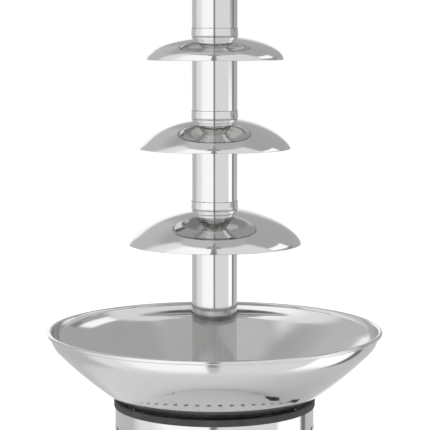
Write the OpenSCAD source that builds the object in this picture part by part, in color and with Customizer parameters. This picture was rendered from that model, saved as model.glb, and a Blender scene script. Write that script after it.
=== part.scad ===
/* [Base] */
// Outer diameter of the base shell
base_d = 238; // [230:1:260]
// Sheet thickness of the base shell
base_wall = 1; // [0.8:0.1:1.6]
// Height of the base shell
base_h = 136; // [132:1:160]
// Height of the rubber feet below the shell
foot_h = 14; // [11:1:20]
// Diameter of a rubber foot
foot_d = 28; // [24:1:34]
// Radius of the circle that the feet stand on
foot_circle_r = 95; // [85:1:98]
// Sheet thickness of the base plate
plate_t = 1.5; // [1.2:0.1:2.5]
// Height of the base plate's turned-up edge
plate_edge_h = 14; // [12:1:18]
// Number of vent holes round the shell
vent_count = 46; // [30:2:52]
// Diameter of a vent hole
vent_d = 6.5; // [4:0.5:8]
// Distance from the shell's top edge down to the vent row
vent_drop = 24; // [18:1:28]
// Height of the controls above the shell's lower edge
control_h = 56; // [50:1:60]
// Angle from the front of the base round to the knob
control_turn = 95; // [80:1:110]
// Angle between the knob and a rocker switch
switch_angle = 38; // [30:1:44]
// Height of the pilot lamp above the knob
lamp_rise = 33; // [31:1:36]

/* [Bowl] */
// Outer diameter of the bowl over its rolled rim
bowl_d = 400; // [390:1:420]
// Outer diameter of the bowl's wall just below the rolled rim
bowl_mouth_d = 392; // [389:0.2:394]
// Thickness of the rolled rim
bead_d = 5; // [5:0.5:8]
// Sheet thickness of the bowl
bowl_wall = 1.2; // [1:0.1:2]
// Height of the bowl's rim above the base shell
rim_rise = 92; // [88:1:96]
// Depth of the bowl from its rim to the underside of its floor
bowl_depth = 88; // [86:1:90]
// Diameter of the bowl's flat floor
floor_d = 198; // [186:1:208]
// Radius of the turn below the rim
shoulder_r = 29.7; // [24:0.1:34]
// Radius of the wall's long curve
wall_curve_r = 450; // [430:5:480]
// Radius of the bend between wall and floor
knuckle_r = 30; // [26:1:34]
// Outer diameter of the black seal under the bowl
seal_d = 241; // [240:0.5:244]
// Height of the part of the seal that shows
seal_h = 7.7; // [6:0.1:9]
// Height of the seal's skirt inside the shell
seal_skirt_h = 8; // [6:1:10]

/* [Tower] */
// Outer diameter of the tower tubes
tube_d = 54; // [53:0.5:58]
// Wall of the tower tubes
tube_wall = 1; // [0.8:0.1:1.4]
// Outer diameter of the inner tube that the screw turns in
auger_tube_d = 44.5; // [43:0.5:45]
// Wall of the inner tube
auger_tube_wall = 1.2; // [1:0.1:1.6]
// Height of the first dome's hub above the bowl's rim
tier_1_rise = 142.7; // [130:0.1:155]
// Height from the first hub to the second
tier_2_rise = 106.7; // [95:0.1:120]
// Height from the second hub to the third
tier_3_rise = 96.1; // [85:0.1:110]
// Height from the third hub to the fourth
tier_4_rise = 85.1; // [76:0.1:96]
// Diameter of the lowest dome
dome_1_d = 205.8; // [195:0.2:215]
// Diameter of the second dome
dome_2_d = 179.8; // [170:0.2:190]
// Diameter of the third dome
dome_3_d = 162.4; // [154:0.2:168]
// Diameter of the top dome
dome_4_d = 146; // [138:0.2:152]
// Height of the lowest dome from edge to hub
dome_1_h = 40.1; // [34:0.1:46]
// Height of the second dome from edge to hub
dome_2_h = 33.6; // [28:0.1:38]
// Height of the third dome from edge to hub
dome_3_h = 25.5; // [20:0.1:30]
// Height of the top dome from edge to hub
dome_4_h = 18.8; // [15:0.1:23]
// Sheet thickness of the domes
dome_wall = 1; // [0.8:0.1:1.5]
// Height of the collar's lip above the hub that it sits on
lip_h = 2.4; // [1.5:0.1:4]
// Height of the collar's band above its lip
band_h = 8.2; // [6:0.1:9]
// Radius by which the lip stands out from the tube
lip_out = 1; // [0.6:0.1:1.4]
// Length of the collar's spigot inside the hub below it
spigot_h = 6; // [5:0.5:9]
// Height of the crown's neck
neck_h = 18; // [14:0.5:24]
// Diameter of the crown over its wall
crown_d = 97; // [88:1:106]
// Radius of the crown's flare
flare_r = 45; // [40:1:50]
// Width of a chocolate inlet at the foot of the tower
inlet_w = 17; // [10:0.5:18]
// Height of a chocolate inlet
inlet_h = 27; // [14:1:32]
// Diameter of the foot flange of the inner tube
tower_foot_d = 76; // [74:1:84]
// Thickness of the foot flange
tower_foot_t = 2.5; // [2:0.1:4]

/* [Screw] */
// Diameter of the screw over its flight
auger_d = 41; // [38:0.2:41.2]
// Diameter of the screw's core
core_d = 20; // [18:0.5:24]
// Rise of the flight in one turn
pitch = 38; // [30:1:48]
// Thickness of the flight
flight_t = 2.2; // [1.6:0.1:3]
// Diameter of the drive shaft
shaft_d = 10; // [8:0.5:11]
// Diameter of the drive shaft's cross pin
drive_pin_d = 4; // [3:0.5:5]

/* [Heating and drive] */
// Thickness of the heating ring
heater_t = 8; // [6:0.5:9]
// Inner diameter of the heating ring
heater_in_d = 96; // [92:1:104]
// Outer diameter of the heating ring
heater_out_d = 160; // [140:1:166]
// Length of the pillars that carry the motor bracket
pillar_h = 34; // [32:1:38]
// Radius of the circle that the pillars stand on
pillar_circle_r = 91; // [90:0.5:93]
// Diameter of the motor bracket
bracket_d = 200; // [196:1:210]
// Thickness of the motor bracket
bracket_t = 2; // [1.5:0.1:3]
// Wall of the gear case
case_wall = 3; // [2.5:0.1:4]
// Module of the gear teeth
gear_module = 1; // [0.9:0.02:1.04]
// Diameter of the motor's can
motor_d = 60; // [50:1:66]
// Length of the motor's can
motor_h = 54; // [44:1:55]
// Diameter of the cooling fan
fan_d = 54; // [40:1:60]

/* [Hidden] */
$fn = 128;
// How far a cutting solid runs past what it cuts, and how far two fused solids share space
past = 1;
overlap = 0.01;
// How far a cutter reaches to either side of the shell's outer face
shell_reach = 3;

// Clearances: a running fit, a fixed fit, a loose hole, and a seat beside a curved wall
run_gap = 0.05;
fix_gap = 0.02;
hole_gap = 0.2;
seat_gap = 0.1;

base_r = base_d / 2;
base_top = foot_h + base_h;
control_z = foot_h + control_h;
rim_z = base_top + rim_rise;
floor_z = rim_z - bowl_depth;
floor_top = floor_z + bowl_wall;

// Screws: shank diameter, head diameter and head height
small_screw = [4, 7.4, 2.4];
large_screw = [5, 10, 3];
base_screw_l = 9;
base_screw_z = foot_h + plate_edge_h / 2;
foot_screw_tail = 4;
bracket_screw_in = 12;

// Bowl wall: a tight shoulder, a long curve and a knuckle, each tangent to the next
shoulder_c = [bowl_mouth_d / 2 - shoulder_r, rim_z - bead_d / 3];
knuckle_c = [floor_d / 2, floor_z + knuckle_r];
wall_c = third_corner(shoulder_c, knuckle_c, wall_curve_r - shoulder_r, wall_curve_r - knuckle_r);
shoulder_turn = fall(wall_c, shoulder_c);
knuckle_turn = fall(wall_c, knuckle_c);

// The corner of a triangle on the inner side of the line between two points, at two distances from them
function third_corner(from, to, from_l, to_l) = let (line = to - from, l = norm(line),
    along = (from_l * from_l - to_l * to_l + l * l) / (2 * l), across = sqrt(from_l * from_l - along * along))
    from + (along * line + across * [line[1], -line[0]]) / l;
// How steeply the line from one point to another falls
function fall(from, to) = atan2(from[1] - to[1], to[0] - from[0]);
function arc(c, r, from, to, steps) =
    [for (i = [1 : steps]) let (a = from + (to - from) * i / steps) c + r * [cos(a), -sin(a)]];
function backwards(list) = [for (i = [len(list) - 1 : -1 : 0]) list[i]];
function bowl_line(inset) = concat(
    [shoulder_c + [shoulder_r - inset, 0]],
    arc(shoulder_c, shoulder_r - inset, 0, shoulder_turn, 6),
    arc(wall_c, wall_curve_r - inset, shoulder_turn, knuckle_turn, 8),
    arc(knuckle_c, knuckle_r - inset, knuckle_turn, 90, 5));
function circle_r(c, r, z) = c[0] + sqrt(r * r - (z - c[1]) * (z - c[1]));
function bowl_r(z) = z < knuckle_c[1] - knuckle_r * sin(knuckle_turn)
    ? circle_r(knuckle_c, knuckle_r, z) : circle_r(wall_c, wall_curve_r, z);

// Hub in the bowl's floor, its bush and its seal
bush_wall = 3;
bush_r = shaft_d / 2 + run_gap + bush_wall;
hub_wall = 4.5;
hub_r = bush_r + hub_wall;
hub_flange_w = 6;
hub_flange_r = hub_r + hub_flange_w;
hub_flange_t = 2.5;
hub_h = 16;
hub_top = floor_top + hub_h;
thread_wall = 2;
hub_thread_r = bush_r + thread_wall;
hub_nut_t = 6;
hub_nut_w = 5;
hub_nut_d = 2 * (hub_thread_r + hub_nut_w);
hub_tail = 2;
hub_bottom = floor_z - hub_nut_t - hub_tail;
lip_seal_t = 4;
cutout_r = 7;
cutout_h = 9;
pillar_d = 10;
pillar_thread_h = 16;
stud_nut = [9, 4];
stud_tail = 2;
terminal_size = [16, 44, 14];
terminal_at = [-78, -30];
terminal_wells = 4;
terminal_well = [5, 5];

// Tower levels: the hub that each dome offers to the collar above it
tube_r = tube_d / 2;
auger_tube_r = auger_tube_d / 2;
hub_1_z = rim_z + tier_1_rise;
hub_2_z = hub_1_z + tier_2_rise;
hub_3_z = hub_2_z + tier_3_rise;
hub_4_z = hub_3_z + tier_4_rise;
slide_gap = 0.2;
collar_bore_r = auger_tube_r + slide_gap;
spigot_wall = 0.75;
spigot_r = collar_bore_r + spigot_wall;
lip_edge = 0.4;
dome_bore_r = spigot_r + slide_gap;
hub_flat_w = 1.5;
hub_flat_r = tube_r + hub_flat_w;
line_h = lip_h + band_h;
socket_h = 8;
neck_top = hub_4_z + line_h + neck_h;
cup_floor_t = 2;
crown_bead_r = 1.5;
auger_tube_over = 3;
auger_tube_top = neck_top + auger_tube_over;
dome_fullness = [1.6, 2.4, 2.1, 2.1];
dome_edge = [1.6, 1.3, 1.9, 1.9];
tower_pin_d = 5;
tower_pin_r = (tube_r + tower_foot_d / 2) / 2;
inlet_z = floor_top + tower_foot_t;
inlet_cut = 6;

// Screw levels
core_gap = 2;
core_bottom = hub_top + core_gap;
core_over = 2;
core_top = auger_tube_top + core_over;
flight_rise = 9;
flight_start = core_bottom + flight_rise;
flight_below = 4;
flight_end = auger_tube_top - flight_below;
flight_bite = 0.1;
steps_a_turn = 24;
shaft_in = 14;
shaft_top = core_bottom + shaft_in;
drive_pin_rise = 5;
drive_pin_z = core_bottom + drive_pin_rise;
drive_pin_in = 1;
cap_over = 2;
cap_r = core_d / 2 + cap_over;
cap_h = 12;

// Gear train: the motor's pinion, a compound idler and the output gear
output_teeth = 52;
idler_pinion_teeth = 12;
idler_wheel_teeth = 48;
motor_teeth = 12;
pressure = 25;
backlash = 0.2;
output_reach = gear_module * (output_teeth + idler_pinion_teeth) / 2;
idler_reach = gear_module * (idler_wheel_teeth + motor_teeth) / 2;
motor_turn = 110;
idler_at = [output_reach, 0];
motor_at = idler_at + idler_reach * [cos(motor_turn), sin(motor_turn)];
bracket_top = floor_z - pillar_h;
lid_t = 3;
lid_top = bracket_top - bracket_t;
case_top = lid_top - lid_t;
case_inside_h = 24;
case_floor = case_top - case_inside_h;
case_bottom = case_floor - case_wall;
wheel_rise = 2;
wheel_z = case_floor + wheel_rise;
wheel_w = 7;
output_rise = 12;
output_z = case_floor + output_rise;
output_w = 8;
idler_pin_d = 6;
motor_shaft_d = 6;
motor_boss_r = 9;
motor_bottom = case_bottom - motor_h;
fan_h = 9;
case_room = 3;
case_low = [-tip_r(output_teeth) - case_room - case_wall, -tip_r(output_teeth) - case_room - case_wall];
case_high = [idler_at[0] + tip_r(idler_wheel_teeth) + case_room + case_wall,
    motor_at[1] + tip_r(motor_teeth) + case_room + case_wall];
case_corner_r = 8;
case_screw_in = 5.5;
case_thread_h = 14;
case_thread_spare = 3;
bearing_wall = 3;
bearing_r = shaft_d / 2 + bearing_wall;
bearing_stand = 2;
idler_boss_h = 1.8;
idler_boss_w = 2;
axial_gap = 0.2;
mesh_room = 0.6;
pinion_over = 0.5;
idler_pin_in = 1;
fan_gap = 1;
fan_hub_d = 14;
fan_plate_t = 1.5;
fan_blades = 7;

function pitch_r(teeth) = gear_module * teeth / 2;
function tip_r(teeth) = pitch_r(teeth) + gear_module;
function root_r(teeth) = pitch_r(teeth) - 1.25 * gear_module;
function involute(base, r) = let (a = acos(min(1, base / r))) tan(a) * 180 / PI - a;
function flank(teeth, r) = let (base = pitch_r(teeth) * cos(pressure))
    90 / teeth - backlash / 4 / pitch_r(teeth) * 180 / PI
    + involute(base, pitch_r(teeth)) - involute(base, max(base, r));
function polar(r, a) = r * [cos(a), sin(a)];

// Controls, given as distances from the axis
bezel = [25, 31, 2];
switch_body = [21.8, 27.8, 26];
rocker = [17.6, 23.6];
rocker_tilt = 8;
pivot_over = 0.2;
pivot_o = base_r + pivot_over;
rocker_room = 0.9;
rocker_depth = 4.2;
trunnion_d = 2.4;
trunnion_in = 1;
trunnion_l = rocker[0] + 2 * (hole_gap + trunnion_in);
thermostat_size = [34, 17];
thermostat_gap = 4;
thermostat_back_o = base_r - base_wall - thermostat_gap - thermostat_size[1];
knob_d = 40;
knob_h = 17;
knob_gap = 2.6;
knob_o = base_r + knob_gap;
knob_skirt_h = 6;
knob_rim_h = 2;
knob_slope = [3, 5];
knob_top_in = 5;
knob_grip_w = 9;
knob_bore_h = 12;
knob_shaft_d = 6;
knob_bush_d = 10;
knob_bush_gap = 0.6;
knob_shaft_in = 2;
knob_shaft_gap = 0.5;
lamp_d = 9.8;
lamp_flange_out = 1.3;
lamp_flange_t = 1.6;
lamp_dome_h = 3.4;
lamp_depth = 16;
inlet_flange = [32, 26, 2.5];
inlet_size = [27, 20, 18];
inlet_mouth = [24, 16.5, 16];
inlet_pin = [2, 4];
inlet_pin_short = 4.6;
inlet_tab = 6;
inlet_corner = 4;
inlet_lap = 1;
inlet_pin_x = 7;
inlet_pin_z = 2;
inlet_front = base_r + seat_gap + inlet_flange[2];

steel = "gainsboro";
satin = "silver";
black = [0.08, 0.08, 0.08];

// Turns its children from the front of the base by an angle
module round_base(angle) rotate([0, 0, angle]) children();
// Lays a Z axis outwards at the front, standing on the given distance from the axis
module outwards(distance, z) translate([0, -distance, z]) rotate([90, 0, 0]) children();
module at(place, z) translate([place[0], place[1], z]) children();
module ring(r, bore_r, z, h) {
    translate([0, 0, z]) difference() {
        cylinder(r = r, h = h);
        translate([0, 0, -past]) cylinder(r = bore_r, h = h + 2 * past);
    }
}
// A round hole through everything between two heights
module drill(d, from, to) translate([0, 0, from - past]) cylinder(d = d, h = to - from + 2 * past);
// A block centred on its first two sizes
module block(size, z) translate([-size[0] / 2, -size[1] / 2, z]) cube(size);
module around(count, radius, start = 0) {
    for (i = [0 : count - 1]) rotate([0, 0, start + i * 360 / count]) translate([radius, 0, 0]) children();
}
// A pan-head screw with its head on top, its seat at height 0
module pan_screw(size, length) {
    edge = 1;
    rotate_extrude() polygon([[0, size[2]], [size[1] / 2 - edge, size[2]], [size[1] / 2, size[2] - edge],
        [size[1] / 2, 0], [size[0] / 2, 0], [size[0] / 2, -length], [0, -length]]);
}
module gear(teeth, width, bore_r, turn) {
    root = root_r(teeth);
    middle = pitch_r(teeth);
    tip = tip_r(teeth);
    rising = [root, middle, (middle + tip) / 2, tip];
    points = [for (i = [0 : teeth - 1]) let (c = turn + i * 360 / teeth) each concat(
        [for (r = rising) polar(r, c - flank(teeth, r))],
        [for (r = backwards(rising)) polar(r, c + flank(teeth, r))])];
    difference() {
        linear_extrude(width) polygon(points);
        drill(2 * bore_r, 0, width);
    }
}
module rounded_box(low, high, r, z, h) {
    size = high - low;
    translate([low[0] + r, low[1], z]) cube([size[0] - 2 * r, size[1], h]);
    translate([low[0], low[1] + r, z]) cube([size[0], size[1] - 2 * r, h]);
    for (x = [low[0] + r, high[0] - r], y = [low[1] + r, high[1] - r]) at([x, y], z) cylinder(r = r, h = h);
}
module case_corners() {
    for (x = [case_low[0] + case_screw_in, case_high[0] - case_screw_in],
        y = [case_low[1] + case_screw_in, case_high[1] - case_screw_in]) at([x, y], 0) children();
}

module wall_hole(size) {
    block([size[0] + 2 * hole_gap, size[1] + 2 * hole_gap, 2 * shell_reach], base_r - shell_reach);
}
module wall_drill(d) drill(d, base_r - shell_reach, base_r + shell_reach);
module base_screw_places() {
    for (i = [0 : 3]) round_base(45 + 90 * i) outwards(base_r + run_gap, base_screw_z) children();
}
module base_shell() {
    color(steel) difference() {
        ring(base_r, base_r - base_wall, foot_h, base_h);
        for (i = [0 : vent_count - 1]) round_base((i + 0.5) * 360 / vent_count)
            outwards(0, base_top - vent_drop) wall_drill(vent_d);
        round_base(control_turn) outwards(0, control_z) wall_drill(knob_bush_d + 2 * hole_gap);
        round_base(control_turn) outwards(0, control_z + lamp_rise) wall_drill(lamp_d + 2 * hole_gap);
        for (side = [-1, 1]) round_base(control_turn + side * switch_angle)
            outwards(0, control_z) wall_hole(switch_body);
        round_base(180) outwards(0, control_z) wall_hole(inlet_size);
        base_screw_places() drill(small_screw[0] + 2 * hole_gap, -2 * shell_reach, shell_reach);
    }
}
module base_plate() {
    edge_r = base_r - base_wall - hole_gap;
    color(satin) difference() {
        union() {
            translate([0, 0, foot_h]) cylinder(r = edge_r, h = plate_t);
            ring(edge_r, edge_r - plate_t, foot_h, plate_edge_h);
        }
        around(4, foot_circle_r, 45) drill(large_screw[0] + 2 * hole_gap, foot_h, foot_h + plate_t);
        base_screw_places() drill(small_screw[0] + 2 * hole_gap, -2 * shell_reach, shell_reach);
    }
}
module base_screws() color(satin) base_screw_places() pan_screw(small_screw, base_screw_l);
module rubber_feet() {
    seat = foot_h / 2;
    hole_r = large_screw[0] / 2 + hole_gap;
    well_r = large_screw[1] / 2 + 1;
    edge = 1.5;
    taper = 2;
    color(black) around(4, foot_circle_r, 45) rotate_extrude() polygon([[hole_r, foot_h], [hole_r, seat],
        [well_r, seat], [well_r, 0], [foot_d / 2 - edge, 0], [foot_d / 2, edge],
        [foot_d / 2 - taper, foot_h]]);
}
module foot_screws() {
    color(satin) around(4, foot_circle_r, 45) translate([0, 0, foot_h / 2]) mirror([0, 0, 1])
        pan_screw(large_screw, foot_h / 2 + plate_t + foot_screw_tail);
}

module bowl_seal() {
    inside_r = bowl_r(base_top + seal_h) + seat_gap;
    skirt_r = base_r - base_wall - seat_gap;
    edge = 0.8;
    color(black) rotate_extrude() polygon([[seal_d / 2, base_top], [seal_d / 2, base_top + seal_h - edge],
        [seal_d / 2 - edge, base_top + seal_h], [inside_r, base_top + seal_h],
        [inside_r, base_top - seal_skirt_h], [skirt_r, base_top - seal_skirt_h], [skirt_r, base_top]]);
}
module bowl() {
    hole_r = hub_thread_r + seat_gap;
    inner_edge = [[hole_r, floor_z], [hole_r, floor_top]];
    lap = [(bowl_mouth_d - bowl_wall) / 2, (bowl_d - bead_d) / 2];
    color(steel) {
        rotate_extrude() polygon(concat(bowl_line(0), inner_edge, backwards(bowl_line(bowl_wall))));
        rotate_extrude() translate([lap[1], rim_z - bead_d / 2]) circle(d = bead_d);
        rotate_extrude() translate([min(lap), rim_z - (bead_d + bowl_wall) / 2])
            square([abs(lap[1] - lap[0]), bowl_wall]);
    }
}
module bowl_hub() {
    color(satin) rotate_extrude() polygon([[bush_r + fix_gap, hub_bottom], [hub_thread_r, hub_bottom],
        [hub_thread_r, floor_top], [hub_flange_r, floor_top], [hub_flange_r, floor_top + hub_flange_t],
        [hub_r, floor_top + hub_flange_t], [hub_r, hub_top], [bush_r + fix_gap, hub_top]]);
}
module hub_nut() {
    color(satin) difference() {
        translate([0, 0, floor_z - hub_nut_t]) cylinder(d = hub_nut_d, h = hub_nut_t, $fn = 6);
        drill(2 * (hub_thread_r + fix_gap), floor_z - hub_nut_t, floor_z);
    }
}
module shaft_seal() color(black) ring(bush_r, shaft_d / 2 + run_gap, hub_top - lip_seal_t, lip_seal_t);
module shaft_bush() {
    color("darkgoldenrod") ring(bush_r, shaft_d / 2 + run_gap, hub_bottom, hub_top - lip_seal_t - hub_bottom);
}
module tower_pins() {
    point = 2;
    color(steel) around(4, tower_pin_r, 45) translate([0, 0, floor_top]) {
        cylinder(d = tower_pin_d, h = tower_foot_t + point);
        translate([0, 0, tower_foot_t + point]) cylinder(d1 = tower_pin_d, d2 = tower_pin_d - 2, h = point);
    }
}

module heater_stud_places() around(3, (heater_in_d + heater_out_d) / 4, 90) children();
module heater_ring() {
    color("dimgray") difference() {
        ring(heater_out_d / 2, heater_in_d / 2, floor_z - heater_t, heater_t);
        heater_stud_places() drill(large_screw[0] + 2 * hole_gap, floor_z - heater_t, floor_z);
    }
}
module heater_studs() {
    tail = stud_nut[1] + stud_tail;
    color(satin) heater_stud_places() translate([0, 0, floor_z - heater_t]) {
        translate([0, 0, -tail]) cylinder(d = large_screw[0], h = heater_t + tail);
        translate([0, 0, -stud_nut[1]]) cylinder(d = stud_nut[0], h = stud_nut[1], $fn = 6);
    }
}
module thermal_cutout() {
    tab = [3, 0.8, 8];
    color("darkslategray") at([0, -(hub_nut_d + heater_in_d) / 4], floor_z - cutout_h) {
        cylinder(r = cutout_r, h = cutout_h);
        for (x = [-1, 1]) translate([x * cutout_r / 2, 0, 0]) block(tab, past - tab[2]);
    }
}
module bracket_pillars() {
    color(satin) around(4, pillar_circle_r, 45) difference() {
        translate([0, 0, bracket_top]) cylinder(d = pillar_d, h = pillar_h);
        drill(large_screw[0] + 2 * fix_gap, bracket_top, bracket_top + pillar_thread_h);
    }
}
module motor_bracket() {
    color(satin) difference() {
        translate([0, 0, lid_top]) cylinder(d = bracket_d, h = bracket_t);
        drill(2 * (bearing_r + fix_gap), lid_top, bracket_top);
        around(4, pillar_circle_r, 45) drill(large_screw[0] + 2 * hole_gap, lid_top, bracket_top);
        case_corners() drill(small_screw[0] + 2 * hole_gap, lid_top, bracket_top);
        at(idler_at, 0) drill(idler_pin_d + 2 * hole_gap, lid_top, bracket_top);
    }
}
module bracket_screws() {
    color(satin) around(4, pillar_circle_r, 45) translate([0, 0, lid_top]) mirror([0, 0, 1])
        pan_screw(large_screw, bracket_t + bracket_screw_in);
}
module gear_case() {
    wall = [case_wall, case_wall];
    color("lightslategray") difference() {
        rounded_box(case_low, case_high, case_corner_r, case_bottom, case_top - case_bottom);
        difference() {
            rounded_box(case_low + wall, case_high - wall, case_corner_r - case_wall, case_floor,
                case_inside_h + past);
            case_corners() drill(2 * case_screw_in, case_floor, case_top + past);
            at(idler_at, case_floor - past)
                cylinder(r = idler_pin_d / 2 + idler_boss_w, h = idler_boss_h + past);
        }
        case_corners() drill(small_screw[0] + 2 * fix_gap, case_top - case_thread_h, case_top);
        drill(2 * (bearing_r + fix_gap), case_bottom, case_floor);
        at(idler_at, case_bottom + idler_pin_in) cylinder(d = idler_pin_d + 2 * fix_gap, h = case_inside_h);
        at(motor_at, 0) drill(2 * (motor_boss_r + hole_gap), case_bottom, case_floor);
    }
}
module gear_lid() {
    color("lightslategray") difference() {
        rounded_box(case_low, case_high, case_corner_r, case_top, lid_t);
        drill(2 * (bearing_r + fix_gap), case_top, lid_top);
        at(idler_at, 0) drill(idler_pin_d + 2 * fix_gap, case_top, lid_top);
        case_corners() drill(small_screw[0] + 2 * hole_gap, case_top, lid_top);
    }
}
module gear_screws() {
    color(satin) case_corners() translate([0, 0, bracket_top])
        pan_screw(small_screw, bracket_top - case_top + case_thread_h - case_thread_spare);
}
module shaft_bearings() {
    bore_r = shaft_d / 2 + run_gap;
    upper = case_top - bearing_stand;
    color("darkgoldenrod") {
        ring(bearing_r, bore_r, case_bottom, wheel_z - case_bottom);
        ring(bearing_r, bore_r, upper, bracket_top - upper);
    }
}
module idler_pin() {
    low = case_bottom + idler_pin_in;
    color(satin) at(idler_at, low) cylinder(d = idler_pin_d, h = bracket_top - low);
}
module motor_can() {
    color("dimgray") at(motor_at, 0) difference() {
        union() {
            translate([0, 0, motor_bottom]) cylinder(d = motor_d, h = motor_h);
            translate([0, 0, case_bottom - past]) cylinder(r = motor_boss_r, h = case_wall);
        }
        drill(motor_shaft_d + 2 * run_gap, motor_bottom, case_floor);
    }
}

module thermostat_body() {
    color("dimgray") round_base(control_turn) outwards(0, control_z) difference() {
        union() {
            block([thermostat_size[0], thermostat_size[0], thermostat_size[1]], thermostat_back_o);
            translate([0, 0, thermostat_back_o])
                cylinder(d = knob_bush_d, h = knob_o - knob_bush_gap - thermostat_back_o);
        }
        drill(knob_shaft_d + 2 * run_gap, thermostat_back_o, knob_o);
    }
}
// A round bar across a switch, on the axis that its rocker tilts about
module trunnion(d, length) translate([-length / 2, 0, 0]) rotate([0, 90, 0]) cylinder(d = d, h = length);
module switch_frame() {
    room = [rocker[0] + 2 * hole_gap, rocker[1] + 2 * rocker_room, 12];
    color(black) outwards(0, control_z) difference() {
        union() {
            block(bezel, base_r + seat_gap);
            block(switch_body, base_r + 1 - switch_body[2]);
        }
        block(room, pivot_o - rocker_depth);
        translate([0, 0, pivot_o]) trunnion(trunnion_d + 2 * run_gap, trunnion_l + 2 * run_gap);
    }
}
module switch_frames() {
    for (side = [-1, 1]) round_base(control_turn + side * switch_angle) switch_frame();
}
// A rocker at rest has its lower half pressed in; its face is a shallow V
module rocker_button() {
    half = rocker[1] / 2;
    face = [4.2, 3];
    back = 2;
    taper = 0.6;
    color(black) translate([0, -pivot_o, control_z]) rotate([rocker_tilt, 0, 0]) {
        translate([-rocker[0] / 2, 0, 0]) rotate([90, 0, 90]) linear_extrude(rocker[0])
            polygon([[-face[0], half], [-face[1], 0], [-face[0], -half], [back, taper - half],
                [back, half - taper]]);
        trunnion(trunnion_d, trunnion_l);
    }
}
module power_rocker() round_base(control_turn - switch_angle) rocker_button();
module motor_rocker() round_base(control_turn + switch_angle) rocker_button();
module pilot_lamp() {
    color("orangered") round_base(control_turn) outwards(0, control_z + lamp_rise) {
        translate([0, 0, base_r - lamp_depth]) cylinder(d = lamp_d, h = lamp_depth + 1);
        translate([0, 0, base_r + seat_gap]) cylinder(d = lamp_d + 2 * lamp_flange_out, h = lamp_flange_t);
        translate([0, 0, base_r + 1]) cylinder(d1 = lamp_d, d2 = lamp_d - 3, h = lamp_dome_h);
    }
}
module inlet_pin_places() {
    for (i = [-1 : 1]) translate([i * inlet_pin_x, i == 0 ? inlet_pin_z : -inlet_pin_z, 0]) children();
}
module inlet_mouth_outline() {
    w = inlet_mouth[0] / 2;
    h = inlet_mouth[1] / 2;
    polygon([[-w, -h], [w, -h], [w, h - inlet_corner], [w - inlet_corner, h], [inlet_corner - w, h],
        [-w, h - inlet_corner]]);
}
module inlet_body() {
    slot = [inlet_pin[0] + 2 * fix_gap, inlet_pin[1] + 2 * fix_gap, inlet_size[2]];
    color(black) round_base(180) outwards(0, control_z) difference() {
        union() {
            block(inlet_flange, inlet_front - inlet_flange[2]);
            block(inlet_size, inlet_front - inlet_lap - inlet_size[2]);
        }
        translate([0, 0, inlet_front - inlet_mouth[2]])
            linear_extrude(inlet_mouth[2] + past) inlet_mouth_outline();
        inlet_pin_places() block(slot, inlet_front - inlet_lap - past - inlet_size[2]);
    }
}
module inlet_pins() {
    blade = [inlet_pin[0], inlet_pin[1], inlet_size[2] + inlet_tab - inlet_pin_short];
    color("goldenrod") round_base(180) outwards(0, control_z) inlet_pin_places()
        block(blade, inlet_front - inlet_size[2] - inlet_tab);
}
module terminal_block() {
    step = terminal_size[1] / terminal_wells;
    color("ivory") at(terminal_at, foot_h + plate_t) difference() {
        cube(terminal_size);
        for (i = [0 : terminal_wells - 1]) translate([terminal_size[0] / 2, (i + 0.5) * step, 0])
            drill(terminal_well[0], terminal_well[1], terminal_size[2]);
    }
}

module drive_shaft() {
    color(steel) difference() {
        translate([0, 0, case_bottom]) cylinder(d = shaft_d, h = shaft_top - case_bottom);
        outwards(0, drive_pin_z) drill(drive_pin_d + 2 * fix_gap, -shaft_d, shaft_d);
    }
}
module drive_pin() {
    length = core_d - 2 * drive_pin_in;
    color(satin) outwards(-length / 2, drive_pin_z) cylinder(d = drive_pin_d, h = length);
}
module output_gear() {
    spacer_r = output_reach - tip_r(idler_wheel_teeth) - mesh_room;
    bore_r = shaft_d / 2 + fix_gap;
    hub_low = output_z + output_w - overlap;
    color("ivory") {
        translate([0, 0, output_z]) gear(output_teeth, output_w, bore_r, 0);
        ring(spacer_r, bore_r, wheel_z + axial_gap, output_z - wheel_z);
        ring(bearing_r, bore_r, hub_low, case_top - bearing_stand - axial_gap - hub_low);
    }
}
module idler_wheel() {
    bore_r = idler_pin_d / 2 + run_gap;
    color("ivory") at(idler_at, wheel_z) gear(idler_wheel_teeth, wheel_w, bore_r, motor_turn);
}
module idler_pinion() {
    low = wheel_z + wheel_w;
    width = output_z + output_w + 2 * pinion_over - low;
    bore_r = idler_pin_d / 2 + run_gap;
    color("darkgray") at(idler_at, low)
        gear(idler_pinion_teeth, width, bore_r, 180 + 180 / idler_pinion_teeth);
}
module motor_shaft() {
    low = motor_bottom - fan_h - 2 * fan_gap;
    color(satin) at(motor_at, low) cylinder(d = motor_shaft_d, h = wheel_z + wheel_w - low);
}
module motor_pinion() {
    width = wheel_w + 2 * pinion_over;
    bore_r = motor_shaft_d / 2 + fix_gap;
    color("darkgray") at(motor_at, wheel_z - pinion_over)
        gear(motor_teeth, width, bore_r, motor_turn + 180 + 180 / motor_teeth);
}
module cooling_fan() {
    blade = [fan_d / 2 - fan_hub_d / 2, fan_plate_t, fan_h];
    color("dimgray") at(motor_at, motor_bottom - fan_h - fan_gap) difference() {
        union() {
            cylinder(d = fan_hub_d, h = fan_h);
            translate([0, 0, fan_h - fan_plate_t]) cylinder(d = fan_d, h = fan_plate_t);
            around(fan_blades, fan_d / 4 + fan_hub_d / 4 - past) block(blade, 0);
        }
        drill(motor_shaft_d + 2 * fix_gap, 0, fan_h);
    }
}

module auger_core() {
    shaft_socket_h = shaft_top - core_bottom + past;
    slot_h = drive_pin_z - core_bottom + drive_pin_d / 2 + seat_gap;
    color(steel) translate([0, 0, core_bottom]) difference() {
        cylinder(d = core_d, h = core_top - core_bottom);
        drill(shaft_d + 2 * seat_gap, 0, shaft_socket_h);
        block([drive_pin_d + 2 * hole_gap, 2 * core_d, slot_h + past], -past);
    }
}
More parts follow.
